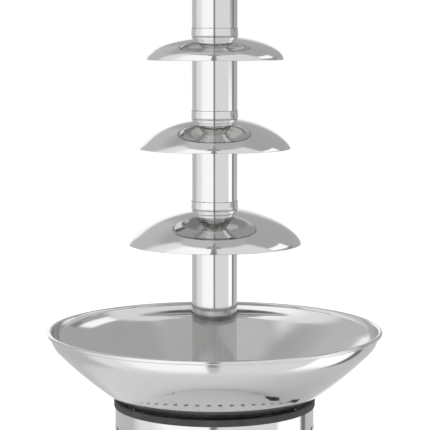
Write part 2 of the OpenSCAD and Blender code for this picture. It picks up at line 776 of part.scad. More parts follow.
// A rectangle carried along a helix, bitten a little into the core that it is welded to
module auger_flight() {
    turns = (flight_end - flight_start - flight_t) / pitch;
    steps = ceil(turns * steps_a_turn);
    inner = core_d / 2 - flight_bite;
    corners = [[inner, 0], [auger_d / 2, 0], [auger_d / 2, flight_t], [inner, flight_t]];
    points = [for (i = [0 : steps], p = corners) let (a = turns * 360 * i / steps)
        [p[0] * cos(a), p[0] * sin(a), flight_start + p[1] + turns * pitch * i / steps]];
    sides = [for (i = [0 : steps - 1], k = [0 : 3]) let (a = 4 * i + k, b = 4 * i + (k + 1) % 4)
        each [[a, b, b + 4], [a, b + 4, a + 4]]];
    last = 4 * steps;
    ends = [[0, 3, 2], [0, 2, 1], [last, last + 1, last + 2], [last, last + 2, last + 3]];
    color(steel) polyhedron(points, concat(sides, ends));
}
module auger_cap() {
    edge = 2;
    color(steel) translate([0, 0, core_top]) rotate_extrude() polygon(concat([[0, 0], [cap_r, 0]],
        [for (a = [0 : 10 : 90]) [cap_r * cos(a), edge + (cap_h - edge) * sin(a)]]));
}

// Four arches through a tube, from a level up to the top of the inlets
module inlets(r, wall, from) {
    for (i = [0 : 3]) rotate([0, 0, 90 * i]) translate([r - wall / 2, 0, 0])
        block([inlet_cut, inlet_w, inlet_z + inlet_h - from], from);
}
module auger_tube() {
    color(steel) difference() {
        ring(auger_tube_r, auger_tube_r - auger_tube_wall, floor_top, auger_tube_top - floor_top);
        inlets(auger_tube_r, auger_tube_wall, inlet_z);
    }
}
module tower_foot() {
    color(steel) difference() {
        ring(tower_foot_d / 2, auger_tube_r + fix_gap, floor_top, tower_foot_t);
        around(4, tower_pin_r, 45) drill(tower_pin_d + 2 * hole_gap, floor_top, floor_top + tower_foot_t);
    }
}
// A plain tube between two levels
module tower_tube(from, to) color(steel) ring(tube_r, tube_r - tube_wall, from, to - from);
// Outline of a tier's dome: radius and height follow sine and cosine powers, so the edge rolls upright
function dome_line(tier, r, h) = let (
    out = 2 / dome_fullness[tier - 1],
    up = 2 / dome_edge[tier - 1],
    from = asin(pow(hub_flat_r / r, 1 / out)),
    full_h = h / pow(cos(from), up))
    [for (i = [0 : 16]) let (a = from + (90 - from) * i / 16)
        [r * pow(sin(a), out), full_h * pow(max(0, cos(a)), up)]];
module dome(tier, d, h, hub_z) {
    outer = dome_line(tier, d / 2, h);
    inner = dome_line(tier, d / 2 - dome_wall, h - dome_wall);
    color(steel) translate([0, 0, hub_z - h]) rotate_extrude()
        polygon(concat([[dome_bore_r, h]], outer, backwards(inner), [[dome_bore_r, h - dome_wall]]));
}
// A turned ring: its spigot centres in the hub below, its socket centres the tube above
module collar(hub_z) {
    band_r = tube_r + lip_out / 2;
    lip_r = tube_r + lip_out;
    socket_r = tube_r - tube_wall - seat_gap;
    top = line_h + socket_h;
    color(steel) translate([0, 0, hub_z]) rotate_extrude() polygon([[collar_bore_r, -spigot_h],
        [spigot_r, -spigot_h], [spigot_r, 0], [lip_r - lip_h + lip_edge, 0], [lip_r, lip_h - lip_edge],
        [lip_r, lip_h], [band_r, line_h], [socket_r, line_h], [socket_r, top], [collar_bore_r, top]]);
}
module tube_1() {
    difference() {
        tower_tube(inlet_z, hub_1_z - dome_wall);
        inlets(tube_r, tube_wall, inlet_z - past);
    }
}
module dome_1() dome(1, dome_1_d, dome_1_h, hub_1_z);
module collar_2() collar(hub_1_z);
module tube_2() tower_tube(hub_1_z + line_h, hub_2_z - dome_wall);
module dome_2() dome(2, dome_2_d, dome_2_h, hub_2_z);
module collar_3() collar(hub_2_z);
module tube_3() tower_tube(hub_2_z + line_h, hub_3_z - dome_wall);
module dome_3() dome(3, dome_3_d, dome_3_h, hub_3_z);
module collar_4() collar(hub_3_z);
module tube_4() tower_tube(hub_3_z + line_h, hub_4_z - dome_wall);
module dome_4() dome(4, dome_4_d, dome_4_h, hub_4_z);
module collar_5() collar(hub_4_z);
// The crown's neck opens into a cup along an arc of the flare's radius
module crown() {
    sweep = acos((tube_r + flare_r - crown_d / 2) / flare_r);
    centre = [tube_r + flare_r, neck_top];
    low = hub_4_z + line_h;
    neck_in = tube_r - tube_wall;
    outside = [for (i = [0 : 10]) centre + polar(flare_r, 180 - sweep * i / 10)];
    inside = [for (i = [0 : 10]) centre + polar(flare_r + tube_wall, 180 - sweep * i / 10)];
    color(steel) rotate_extrude() {
        polygon(concat([[neck_in, low], [tube_r, low]], outside, backwards(inside),
            [[collar_bore_r, neck_top], [collar_bore_r, neck_top - cup_floor_t],
            [neck_in, neck_top - cup_floor_t]]));
        translate((outside[10] + inside[10]) / 2) circle(r = crown_bead_r);
    }
}

module thermostat_knob() {
    r = knob_d / 2;
    color(black) round_base(control_turn) outwards(knob_o, control_z) difference() {
        union() {
            rotate_extrude() polygon([[0, 0], [r, 0], [r, knob_rim_h], [r - knob_slope[0], knob_slope[1]],
                [r - knob_top_in, knob_skirt_h], [0, knob_skirt_h]]);
            block([knob_grip_w, knob_d - 2 * knob_top_in, knob_h - knob_rim_h], knob_rim_h);
        }
        drill(knob_shaft_d + 2 * fix_gap, 0, knob_bore_h - past);
    }
}
module thermostat_shaft() {
    low = thermostat_back_o + knob_shaft_in;
    high = knob_o + knob_bore_h - knob_shaft_gap;
    color(satin) round_base(control_turn) outwards(low, control_z)
        cylinder(d = knob_shaft_d, h = high - low);
}

base_shell();
base_plate();
base_screws();
rubber_feet();
foot_screws();
bowl_seal();
bowl();
bowl_hub();
hub_nut();
shaft_seal();
shaft_bush();
tower_pins();
heater_ring();
heater_studs();
thermal_cutout();
bracket_pillars();
motor_bracket();
bracket_screws();
gear_case();
gear_lid();
gear_screws();
shaft_bearings();
idler_pin();
motor_can();
thermostat_body();
switch_frames();
pilot_lamp();
inlet_body();
inlet_pins();
terminal_block();
drive_shaft();
drive_pin();
output_gear();
idler_wheel();
idler_pinion();
motor_shaft();
motor_pinion();
cooling_fan();
auger_core();
auger_flight();
auger_cap();
auger_tube();
tower_foot();
tube_1();
dome_1();
collar_2();
tube_2();
dome_2();
collar_3();
tube_3();
dome_3();
collar_4();
tube_4();
dome_4();
collar_5();
crown();
thermostat_knob();
thermostat_shaft();
power_rocker();
motor_rocker();
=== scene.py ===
import math

import bmesh
import bpy
import numpy as np
from mathutils import Matrix, Vector


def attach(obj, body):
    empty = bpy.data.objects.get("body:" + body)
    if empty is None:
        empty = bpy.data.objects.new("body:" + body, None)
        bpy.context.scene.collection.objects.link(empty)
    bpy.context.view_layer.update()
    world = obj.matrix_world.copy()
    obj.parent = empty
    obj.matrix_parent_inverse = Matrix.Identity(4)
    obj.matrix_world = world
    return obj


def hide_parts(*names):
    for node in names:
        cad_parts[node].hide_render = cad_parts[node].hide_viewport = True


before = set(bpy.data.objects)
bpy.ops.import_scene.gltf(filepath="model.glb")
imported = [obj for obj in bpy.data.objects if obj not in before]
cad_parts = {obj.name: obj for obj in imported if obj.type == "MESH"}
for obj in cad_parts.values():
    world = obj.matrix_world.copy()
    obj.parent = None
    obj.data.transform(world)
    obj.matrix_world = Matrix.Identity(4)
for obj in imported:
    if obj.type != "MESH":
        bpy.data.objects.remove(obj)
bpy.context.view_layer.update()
scene = bpy.context.scene
scene.view_settings.view_transform = "Standard"
mm = 0.001
controlTurn = 95.0  # degrees from the front round to the knob
controlHeight = 70.0  # mm from the floor to the middle of the knob and the switches
shellRadius = 119.0  # mm, outside of the base


# a socket that takes part in Python expressions; each expression adds its Math nodes
class Wire:
    def __init__(self, tree, socket=None):
        self.tree = tree
        self.socket = socket

    # any node: its settings first, then the values or links of its sockets
    def node(self, kind, settings=None, sockets=None, out=0):
        made = self.tree.nodes.new(kind)
        for key, value in (settings or {}).items():
            setattr(made, key, value)
        for key, value in (sockets or {}).items():
            if isinstance(value, Wire):
                self.tree.links.new(value.socket, made.inputs[key])
            else:
                made.inputs[key].default_value = value
        return Wire(self.tree, made.outputs[out]) if len(made.outputs) else None

    def math(self, operation, first, second=0.0):
        return self.node("ShaderNodeMath", {"operation": operation}, {0: first, 1: second})

    def __add__(self, other):
        return self.math("ADD", self, other)

    def __sub__(self, other):
        return self.math("SUBTRACT", self, other)

    def __rsub__(self, other):
        return self.math("SUBTRACT", other, self)

    def __mul__(self, other):
        return self.math("MULTIPLY", self, other)

    def __truediv__(self, other):
        return self.math("DIVIDE", self, other)

    def __pow__(self, other):
        return self.math("POWER", self, other)

    def __neg__(self):
        return self.math("MULTIPLY", self, -1.0)

    __radd__ = __add__
    __rmul__ = __mul__

    # 0 below the first value, 1 above the second, eased between
    def ease(self, low, high):
        return self.node("ShaderNodeMapRange", {"interpolation_type": "SMOOTHSTEP"},
                         {"Value": self, "From Min": low, "From Max": high})

    def xyz(self):
        outs = self.node("ShaderNodeSeparateXYZ", None, {0: self}).socket.node.outputs
        return [Wire(self.tree, outs[i]) for i in range(3)]


def newMaterial(name):
    made = bpy.data.materials.new(name)
    made.use_nodes = True
    made.node_tree.nodes.clear()
    return made, Wire(made.node_tree)


# the shader's own sockets take constants directly; what varies comes in as wires
def finishMaterial(w, **sockets):
    names = {"color": "Base Color", "rough": "Roughness", "metal": "Metallic", "normal": "Normal",
             "coat": "Coat Weight", "coatRough": "Coat Roughness", "specular": "Specular IOR Level"}
    shader = w.node("ShaderNodeBsdfPrincipled", None,
                    {names[key]: value for key, value in sockets.items()})
    w.node("ShaderNodeOutputMaterial", None, {"Surface": shader})


# blend of two colours, each a wire or three plain values
def mixColor(w, factor, first, second):
    first, second = (end if isinstance(end, Wire) else (*end, 1.0) for end in (first, second))
    return w.node("ShaderNodeMix", {"data_type": "RGBA"}, {0: factor, 6: first, 7: second}, out=2)


def scaled(colour, factor):
    return tuple(part * factor for part in colour)


def noise(w, place, scale, detail, fourth=None):
    sockets = {"Vector": place, "Scale": scale, "Detail": detail}
    if fourth is not None:
        sockets["W"] = fourth
    return w.node("ShaderNodeTexNoise", {"noise_dimensions": "3D" if fourth is None else "4D"}, sockets)


def bump(w, height, strength, distance):
    return w.node("ShaderNodeBump", None,
                  {"Strength": strength, "Distance": distance, "Height": height})


def objectPlace(w):
    return w.node("ShaderNodeTexCoord", out="Object")


# outputs of one Light Path node, by name
def rays(w, *names):
    outs = w.node("ShaderNodeLightPath").socket.node.outputs
    return [Wire(w.tree, outs[name]) for name in names]


# lines that run round the upright axis: noise over height and radius, hardly changing with the angle
def turnedLines(w, place, fine, along):
    x, y, z = place.xyz()
    radius = (x * x + y * y) ** 0.5
    safe = radius + 0.5 * mm  # nothing is divided by zero on the axis
    around = w.node("ShaderNodeCombineXYZ", None,
                    {0: x / safe * along, 1: y / safe * along, 2: z * fine})
    return noise(w, around, scale=1.0, detail=2.0, fourth=radius * fine)


steelLooks = {
    "tube": dict(tone=0.79, spread=0.03, rough=0.045, haze=0.05, fine=900.0, along=3.0, depth=0.000004),
    # the domes' inside tone of 0.62, below the 0.79 outside, is painted shade on their undersides; the
    # added roughness is their less polished finish
    "dome": dict(tone=0.79, spread=0.03, rough=0.04, haze=0.05, fine=500.0, along=2.0, depth=0.000004,
                 inside=dict(tone=0.62, rough=0.03)),
    "bowl": dict(tone=0.78, spread=0.03, rough=0.05, haze=0.06, fine=350.0, along=2.0, depth=0.000006,
                 inside=dict(tone=0.78, rough=0.06)),
    "base": dict(tone=0.79, spread=0.03, rough=0.045, haze=0.05, fine=700.0, along=3.0, depth=0.000004),
    "screw": dict(tone=0.76, spread=0.05, rough=0.12, haze=0.08, fine=1200.0, along=3.0, depth=0.000006),
    "weld": dict(tone=0.34, spread=0.08, rough=0.26, haze=0.12, fine=1200.0, along=3.0, depth=0.00001),
}
# what these steels share: tint, haze, the roughness of their lines and the two tones of a hollow side
steelShared = dict(tint=(1.0, 1.0, 0.995), hazeScale=22.0, hazeDetail=4.0, hazeRamp=(0.45, 0.75),
                   lineRamp=(0.5, 0.8), lineRough=0.03, bump=0.25,
                   hollowTones=((0.94, 0.94, 0.93), (1.04, 1.04, 1.03)))


# polished steel: turned lines and a slow haze vary its tone and roughness
def polishedSteel(name, look, shared):
    made, w = newMaterial(name)
    place = objectPlace(w)
    lines = turnedLines(w, place, look["fine"], look["along"])
    haze = noise(w, place, shared["hazeScale"], shared["hazeDetail"])
    low, high = (scaled(shared["tint"], look["tone"] + part * look["spread"]) for part in (-1, 1))
    colour = mixColor(w, lines * 0.5 + haze * 0.5, low, high)
    rough = look["rough"] + look["haze"] * haze.ease(*shared["hazeRamp"])
    rough = rough + shared["lineRough"] * lines.ease(*shared["lineRamp"])
    height = lines
    if "inside" in look:  # rougher, without lines and at its own tone where the piece's own attribute says so; on the domes that tone is lower, painted shade on the underside
        inside = w.node("ShaderNodeAttribute", {"attribute_name": "inside"}, out="Fac")
        low, high = (scaled(end, look["inside"]["tone"]) for end in shared["hollowTones"])
        colour = mixColor(w, inside, colour, mixColor(w, haze, low, high))
        rough = rough + look["inside"]["rough"] * inside
        height = lines * (1 - inside)
    finishMaterial(w, color=colour, rough=rough, metal=1.0,
                   normal=bump(w, height, shared["bump"], look["depth"]))
    return made


rolledSizes = dict(streak=(60.0, 1400.0, 1400.0), streakDetail=3.0, mottle=90.0, mottleDetail=4.0,
                   share=0.6, dark=0.82, mottleRough=0.18, bump=0.3, depth=0.00002)


# mill steel and zinc plate: short rolled streaks along X with a mottled sheen
def rolledSteel(name, tone, rough, size=rolledSizes):
    made, w = newMaterial(name)
    place = objectPlace(w)
    drawn = w.node("ShaderNodeMapping", None, {"Vector": place, "Scale": size["streak"]})
    streak = noise(w, drawn, 1.0, size["streakDetail"])
    mottle = noise(w, place, size["mottle"], size["mottleDetail"])
    colour = mixColor(w, mottle * size["share"] + streak * (1 - size["share"]),
                      scaled(tone, size["dark"]), tone)
    finishMaterial(w, color=colour, rough=rough + size["mottleRough"] * mottle, metal=1.0,
                   normal=bump(w, streak, size["bump"], size["depth"]))
    return made


grainSizes = dict(slow=35.0, detail=3.0, share=0.35, slowRough=0.14, pitRough=0.07, bump=0.5)


# cast or moulded grain: fine pits over a slow change of tone
def grained(name, tone, rough, grain=1500.0, depth=0.00004, metal=0.0, contrast=0.25, size=grainSizes):
    made, w = newMaterial(name)
    place = objectPlace(w)
    pits = noise(w, place, grain, size["detail"])
    slow = noise(w, place, size["slow"], size["detail"])
    colour = mixColor(w, pits * size["share"] + slow * (1 - size["share"]),
                      scaled(tone, 1 - contrast), tone)
    finishMaterial(w, color=colour, rough=rough + size["slowRough"] * slow - size["pitRough"] * pits,
                   metal=metal, normal=bump(w, pits, size["bump"], depth))
    return made


rubberSizes = dict(dust=60.0, dustDetail=5.0, dustRamp=(0.35, 0.85), tooth=2600.0, toothDetail=2.0,
                   clean=(1.0, 1.0, 1.0), dusty=(1.9, 1.85, 1.8), rough=0.5, dustRough=0.2, bump=0.35,
                   depth=0.00005, specular=0.4)


# black rubber: dull, with dust in a slow mottle and a fine moulded tooth
def rubber(name, tone, size=rubberSizes):
    made, w = newMaterial(name)
    place = objectPlace(w)
    dust = noise(w, place, size["dust"], size["dustDetail"])
    tooth = noise(w, place, size["tooth"], size["toothDetail"])
    colour = mixColor(w, dust.ease(*size["dustRamp"]), scaled(size["clean"], tone),
                      scaled(size["dusty"], tone))
    finishMaterial(w, color=colour, rough=size["rough"] + size["dustRough"] * dust,
                   normal=bump(w, tooth, size["bump"], size["depth"]), specular=size["specular"])
    return made


lensSizes = dict(out=0.124, height=0.103, core=0.005, share=0.7, swirl=420.0, detail=3.0,
                 dark=(0.42, 0.06, 0.008), bright=(0.95, 0.3, 0.03), rough=0.12, swirlRough=0.1,
                 coat=0.6, coatRough=0.08, bump=0.2, depth=0.00008)


# tinted lens over a lit filament: brighter towards the middle of the lens face
def lampLens(name, size):
    made, w = newMaterial(name)
    place = objectPlace(w)
    turn = math.radians(controlTurn)
    middle = (size["out"] * math.sin(turn), -size["out"] * math.cos(turn), size["height"])
    dx, dy, dz = (part - at for part, at in zip(place.xyz(), middle))
    away = (dx * dx + dy * dy + dz * dz) ** 0.5
    swirl = noise(w, place, size["swirl"], size["detail"])
    core = 1.0 - away.ease(0.0, size["core"])
    colour = mixColor(w, core * size["share"] + swirl * (1 - size["share"]),
                      size["dark"], size["bright"])
    finishMaterial(w, color=colour, rough=size["rough"] + size["swirlRough"] * swirl, coat=size["coat"],
                   coatRough=size["coatRough"], normal=bump(w, swirl, size["bump"], size["depth"]))
    return made


finishes = {name: polishedSteel(name + "Steel", look, steelShared) for name, look in steelLooks.items()}
finishes.update({
    "plate": rolledSteel("plateSteel", (0.62, 0.62, 0.63), 0.28),
    "zinc": rolledSteel("zincSteel", (0.66, 0.66, 0.64), 0.22),
    "rubber": rubber("blackRubber", 0.028),
    "seal": rubber("sealRubber", 0.05),
    "black": grained("blackPlastic", (0.03, 0.03, 0.031), 0.36),
    "acetal": grained("whiteAcetal", (0.82, 0.8, 0.74), 0.38, grain=900.0, depth=0.00002, contrast=0.08),
    "bronze": grained("sinteredBronze", (0.55, 0.36, 0.16), 0.38, grain=2200.0, metal=1.0),
    "brass": grained("brightBrass", (0.78, 0.6, 0.28), 0.2, grain=800.0, depth=0.00001, metal=1.0,
                     contrast=0.12),
    "cast": grained("castAluminium", (0.6, 0.61, 0.62), 0.42, grain=1100.0, depth=0.00012, metal=1.0),
    "enamel": grained("blackEnamel", (0.05, 0.05, 0.054), 0.24, grain=700.0, depth=0.00005),
    "print": grained("whitePrint", (0.8, 0.8, 0.78), 0.5, grain=1800.0, depth=0.00001, contrast=0.1),
    "dialPrint": grained("blackPrint", (0.02, 0.02, 0.02), 0.45, grain=1800.0, depth=0.00001),
    "lamp": lampLens("amberLens", lensSizes),
})
print("finishes:", len(finishes))


# finishes of the CAD nodes that stay as they are
nodeFinish = {
    "base": "base_shell tower_foot",
    "tube": "tube_1 tube_2 tube_3 tube_4 auger_tube auger_core",
    "screw": "tower_pins drive_shaft",
    "plate": "base_plate bowl_hub hub_nut bracket_pillars motor_bracket idler_pin drive_pin "
             "motor_shaft motor_pinion idler_pinion thermostat_shaft",
    "zinc": "base_screws foot_screws heater_studs bracket_screws gear_screws",
    "rubber": "shaft_seal",
    "black": "thermostat_body thermal_cutout cooling_fan inlet_body",
    "acetal": "terminal_block output_gear idler_wheel",
    "bronze": "shaft_bush shaft_bearings",
    "brass": "inlet_pins",
    "cast": "heater_ring gear_case gear_lid",
    "enamel": "motor_can",
}
for finish, names in nodeFinish.items():
    for name in names.split():
        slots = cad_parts[name].data.materials
        slots.clear()
        slots.append(finishes[finish])

mendSizes = dict(weld=0.002 * mm, thin=0.001 * mm)


# puts arrays of points (mm) and faces into a piece, closes seams and poles, and hangs it on its body
def piece(name, points, faces, body, slot, finish, nodes=(), sharp=35.0):
    mesh = bpy.data.meshes.new(name)
    mesh.from_pydata(np.asarray(points, float) * mm, [], faces)
    made = bpy.data.objects.new(name, mesh)
    scene.collection.objects.link(made)
    work = bmesh.new()
    work.from_mesh(mesh)
    bmesh.ops.remove_doubles(work, verts=work.verts, dist=mendSizes["weld"])
    bmesh.ops.dissolve_degenerate(work, edges=work.edges, dist=mendSizes["thin"])
    bmesh.ops.recalc_face_normals(work, faces=work.faces)
    work.to_mesh(mesh)
    work.free()
    mesh.shade_smooth()
    mesh.set_sharp_from_angle(angle=math.radians(sharp))
    mesh.materials.append(finishes[finish])
    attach(made, body)
    if nodes:
        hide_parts(*nodes)
    return made


# quads of a grid of rows by columns; each row closes on itself, and the last row may meet the first
def gridFaces(rows, columns, closeRows=False):
    i = np.arange(rows if closeRows else rows - 1)[:, None]
    j = np.arange(columns)[None, :]
    i2, j2 = (i + 1) % rows, (j + 1) % columns
    corners = (i * columns + j, i * columns + j2, i2 * columns + j2, i2 * columns + j)
    return np.stack(np.broadcast_arrays(*corners), -1).reshape(-1, 4).tolist()


# first and last row of a grid, each as one face
def endFaces(rows, columns):
    return [list(range(columns)), list(range((rows - 1) * columns, rows * columns))]


# lathe: each (radius, height) of the outline goes round the axis, point = (r sin a, -r cos a, z)
def turned(outline, columns, closed=True):
    line = np.asarray(outline, float)
    a = np.arange(columns) * 2 * np.pi / columns
    r, z = line[:, :1], line[:, 1:]
    grid = np.stack(np.broadcast_arrays(r * np.sin(a), -r * np.cos(a), z), -1)
    return grid.reshape(-1, 3), gridFaces(len(line), columns, closeRows=closed)


# arc of a circle in the (radius, height) plane, angles in degrees
def arc(centre, radius, start, end, steps):
    a = np.radians(np.linspace(start, end, steps))
    return np.stack([centre[0] + radius * np.cos(a), centre[1] + radius * np.sin(a)], -1)


# direction of a point from a centre in that plane, 0 to 360 degrees
def direction(point, centre):
    return math.degrees(math.atan2(point[1] - centre[1], point[0] - centre[0])) % 360


# rolled edge: two lines stop at a round bead, whose arc joins them where they meet it
def rolledEdge(first, second, centre, radius, end, steps):
    first, second = (line[np.linalg.norm(line - centre, axis=1) > radius] for line in (first, second))
    start, stop = direction(first[end], centre) - 360, direction(second[end], centre)
    return first, arc(centre, radius, start, stop, steps), second


# every corner of a closed outline gives way to a parabola between a point on each of its two sides,
# at most a given share of the side away
def softened(outline, radius, steps=5, share=0.45):
    p = np.asarray(outline, float)
    back, ahead = np.roll(p, 1, 0) - p, np.roll(p, -1, 0) - p
    backLong, aheadLong = (np.linalg.norm(side, axis=1)[:, None] for side in (back, ahead))
    cut = np.minimum(radius, share * np.minimum(backLong, aheadLong))
    first, last = (p + back / backLong * cut)[:, None], (p + ahead / aheadLong * cut)[:, None]
    t = np.linspace(0.0, 1.0, steps)[None, :, None]
    return ((1 - t) ** 2 * first + 2 * t * (1 - t) * p[:, None] + t ** 2 * last).reshape(-1, 2)


# several sets of points and faces become one
def joined(parts):
    points = np.concatenate([np.asarray(p, float) for p, _ in parts])
    starts = np.cumsum([0] + [len(p) for p, _ in parts[:-1]])
    faces = [[v + int(s) for v in face] for (_, faces), s in zip(parts, starts) for face in faces]
    return points, faces


# local (sideways, up, outwards) points to the side of the base, at an angle from its front
def onBase(points, angle, height):
    p = np.asarray(points, float)
    a = math.radians(angle)
    return np.stack([p[:, 2] * math.sin(a) + p[:, 0] * math.cos(a),
                     -p[:, 2] * math.cos(a) + p[:, 0] * math.sin(a), height + p[:, 1]], -1)


# the hollow side of a pressed piece: where each point's normal looks up (1) or down (-1)
def markInside(made, way, steep=4):
    normals = np.empty(len(made.data.vertices) * 3)
    made.data.vertex_normals.foreach_get("vector", normals)
    inside = made.data.attributes.new("inside", "FLOAT", "POINT")
    inside.data.foreach_set("value", np.clip(steep * way * normals[2::3], 0, 1))


bowlSizes = dict(rim=242.0, across=400.0, mouth=392.0, bead=5.0, wall=1.2, floor=154.0,
                 floorAcross=198.0, shoulder=29.7, curve=450.0, knuckle=30.0, hole=10.15, columns=320,
                 shoulderRows=40, curveRows=60, knuckleRows=32, beadRows=40)


# bowl line: tight shoulder, long curve and knuckle, each arc tangent to the next, all drawn in by an
# inset for the inside
def bowlLine(size, inset):
    shoulder = np.array([size["mouth"] / 2 - size["shoulder"], size["rim"] - size["bead"] / 3])
    knuckle = np.array([size["floorAcross"] / 2, size["floor"] + size["knuckle"]])
    line = knuckle - shoulder
    long = np.linalg.norm(line)
    first, second = size["curve"] - size["shoulder"], size["curve"] - size["knuckle"]
    along = (first ** 2 - second ** 2 + long ** 2) / (2 * long)
    across = math.sqrt(first ** 2 - along ** 2)
    wall = shoulder + (along * line + across * np.array([line[1], -line[0]])) / long
    upper, lower = (-math.degrees(math.atan2(wall[1] - to[1], to[0] - wall[0]))
                    for to in (shoulder, knuckle))
    return np.concatenate([
        arc(shoulder, size["shoulder"] - inset, 0, upper, size["shoulderRows"])[:-1],
        arc(wall, size["curve"] - inset, upper, lower, size["curveRows"])[:-1],
        arc(knuckle, size["knuckle"] - inset, lower, -90, size["knuckleRows"])])


def bowlOutline(size):
    bead = np.array([(size["across"] - size["bead"]) / 2, size["rim"] - size["bead"] / 2])
    outer, roll, inner = rolledEdge(bowlLine(size, 0.0), bowlLine(size, size["wall"]), bead,
                                    size["bead"] / 2, 0, size["beadRows"])
    floor = np.array([[size["hole"], size["floor"]]])
    return np.concatenate([floor, outer[::-1], roll, inner, floor + [0, size["wall"]]])


bowl = piece("bowlSkin", *turned(bowlOutline(bowlSizes), bowlSizes["columns"]), "base",
             "polished_steel", "bowl", ["bowl"], sharp=50)
markInside(bowl, 1)
print("bowl turned")


domeSizes = dict(wall=1.0, hubFlat=28.5, bore=23.4, columns=256, rows=90, edgeRows=9)
tierSizes = [
    dict(tier=1, hub=384.7, across=205.8, high=40.1, crown=0.7, full=2.0, edge=1.5, dots=-27.0),
    dict(tier=2, hub=491.4, across=179.8, high=33.6, crown=0.7, full=2.4, edge=1.3, dots=9.0),
    dict(tier=3, hub=587.5, across=162.4, high=25.5, crown=0.7, full=2.1, edge=1.9, dots=-10.0),
    dict(tier=4, hub=672.6, across=146.0, high=18.8, crown=0.7, full=2.1, edge=1.9, dots=25.0)]


# dome line: radius follows a power of the sine and height a power of the cosine, so the edge rolls
# over to upright
def domeLine(size, tier, inset):
    out, up = 2 / tier["full"], 2 / tier["edge"]
    radius = tier["across"] / 2 - inset
    start = math.asin((size["hubFlat"] / radius) ** (1 / out))
    full = (tier["high"] + tier["crown"] - inset) / math.cos(start) ** up
    a = np.linspace(start, np.pi / 2, size["rows"])
    return np.stack([radius * np.sin(a) ** out, full * np.maximum(np.cos(a), 0) ** up], -1)


def domeOutline(size, tier):
    r, h, wall = tier["across"] / 2, tier["high"] + tier["crown"], size["wall"]
    edge = arc((r - wall / 2, 0.0), wall / 2, 180, 360, size["edgeRows"])[1:-1]
    line = np.concatenate([[[size["bore"], h - wall]], domeLine(size, tier, wall), edge,
                           domeLine(size, tier, 0.0)[::-1], [[size["bore"], h]]])
    return line + [0, tier["hub"] - tier["high"]]


collarSizes = dict(line=10.6, lip=2.0, lipOut=28.0, lipThick=0.4, band=27.5, bore=22.45, spigot=23.2,
                   spigotLow=-6, tongue=25.9, tongueTop=18.6, soft=0.15, columns=192)


# collar: spigot, seat on the dome, lip undercut at 45 degrees, band up to the seam and the tongue
# inside the tube
def collarOutline(size, tier):
    seat, seam, lip, lipOut = tier["crown"], size["line"], size["lip"], size["lipOut"]
    line = np.array([
        (size["bore"], size["spigotLow"]), (size["spigot"], size["spigotLow"]), (size["spigot"], seat),
        (lipOut - lip + seat, seat), (lipOut, lip), (lipOut, lip + size["lipThick"]),
        (size["band"], seam), (size["tongue"], seam), (size["tongue"], size["tongueTop"]),
        (size["bore"], size["tongueTop"])])
    return softened(line + [0, tier["hub"]], size["soft"])


weldSizes = dict(count=6, across=2.2, high=0.35, out=27.25, rows=7, columns=14, seam=0.4, sunk=0.1,
                 seamRows=13, seamColumns=192)


# weld on the seam above each collar: a thin bead all round, and flat domes with
# height = (1 - s squared) over a disc
def weldSeam(size, tier):
    seam = tier["hub"] + collarSizes["line"]
    s = np.linspace(0, 1, size["rows"])[:, None, None]
    a = (np.arange(size["columns"]) * 2 * np.pi / size["columns"])[None, :, None]
    k = np.radians(tier["dots"] + np.arange(size["count"]) * 360 / size["count"])[None, None, :]
    side, up = s * np.cos(a) * size["across"] / 2, s * np.sin(a) * size["across"] / 2
    out = size["out"] + size["high"] * (1 - s ** 2) - side ** 2 / (2 * size["out"])
    x = out * np.sin(k) + side * np.cos(k)
    y = -out * np.cos(k) + side * np.sin(k)
    points = np.stack(np.broadcast_arrays(x, y, seam + up), -1)
    faces = gridFaces(size["rows"], size["columns"]) + endFaces(size["rows"], size["columns"])[1:]
    dots = [(points[:, :, i].reshape(-1, 3), faces) for i in range(size["count"])]
    bead = arc((size["out"] - size["sunk"], seam), size["seam"], 0, 360, size["seamRows"])[:-1]
    return joined(dots + [turned(bead, size["seamColumns"])])


bodyOfCollar = {1: "tier_2", 2: "tier_3", 3: "tier_4", 4: "top"}
for tier in tierSizes:
    n = tier["tier"]
    dome = turned(domeOutline(domeSizes, tier), domeSizes["columns"])
    collar = turned(collarOutline(collarSizes, tier), collarSizes["columns"])
    # the underside marked here takes the lower inside tone: painted shade
    markInside(piece(f"domeSkin{n}", *dome, f"tier_{n}", "polished_steel", "dome", [f"dome_{n}"],
                     sharp=50), -1)
    piece(f"collarRing{n + 1}", *collar, bodyOfCollar[n], "polished_steel", "tube",
          [f"collar_{n + 1}"], sharp=30)
    piece(f"weldSeam{n + 1}", *weldSeam(weldSizes, tier), bodyOfCollar[n], "polished_steel", "weld")
print("tiers turned:", len(tierSizes))


crownSizes = dict(low=683.2, neckTop=701.2, outer=27.0, inner=26.0, bore=22.45, floor=2.0, flare=45.0,
                  across=97.0, bead=1.5, columns=224, flareRows=48, beadRows=28)


# crown: a plain neck, then an arc outwards to a rolled lip, and back down the inside to the cup's floor
def crownOutline(size):
    top, floor = size["neckTop"], size["neckTop"] - size["floor"]
    centre = (size["outer"] + size["flare"], top)
    sweep = math.degrees(math.acos((centre[0] - size["across"] / 2) / size["flare"]))
    outside, inside = (arc(centre, size["flare"] + wall, 180, 180 - sweep, size["flareRows"])
                       for wall in (0.0, size["outer"] - size["inner"]))
    lip = (outside[-1] + inside[-1]) / 2
    outside, roll, inside = rolledEdge(outside, inside, lip, size["bead"], -1, size["beadRows"])
    foot = [[size["inner"], size["low"]], [size["outer"], size["low"]]]
    cup = [[size["bore"], top], [size["bore"], floor], [size["inner"], floor]]
    return np.concatenate([foot, outside, roll, inside[::-1], cup])


piece("crownSkin", *turned(crownOutline(crownSizes), crownSizes["columns"]), "top", "polished_steel",
      "dome", ["crown"], sharp=50)

capSizes = dict(low=706.2, radius=12.0, high=12.0, edge=2.0, chamfer=0.5, rows=24, columns=96)


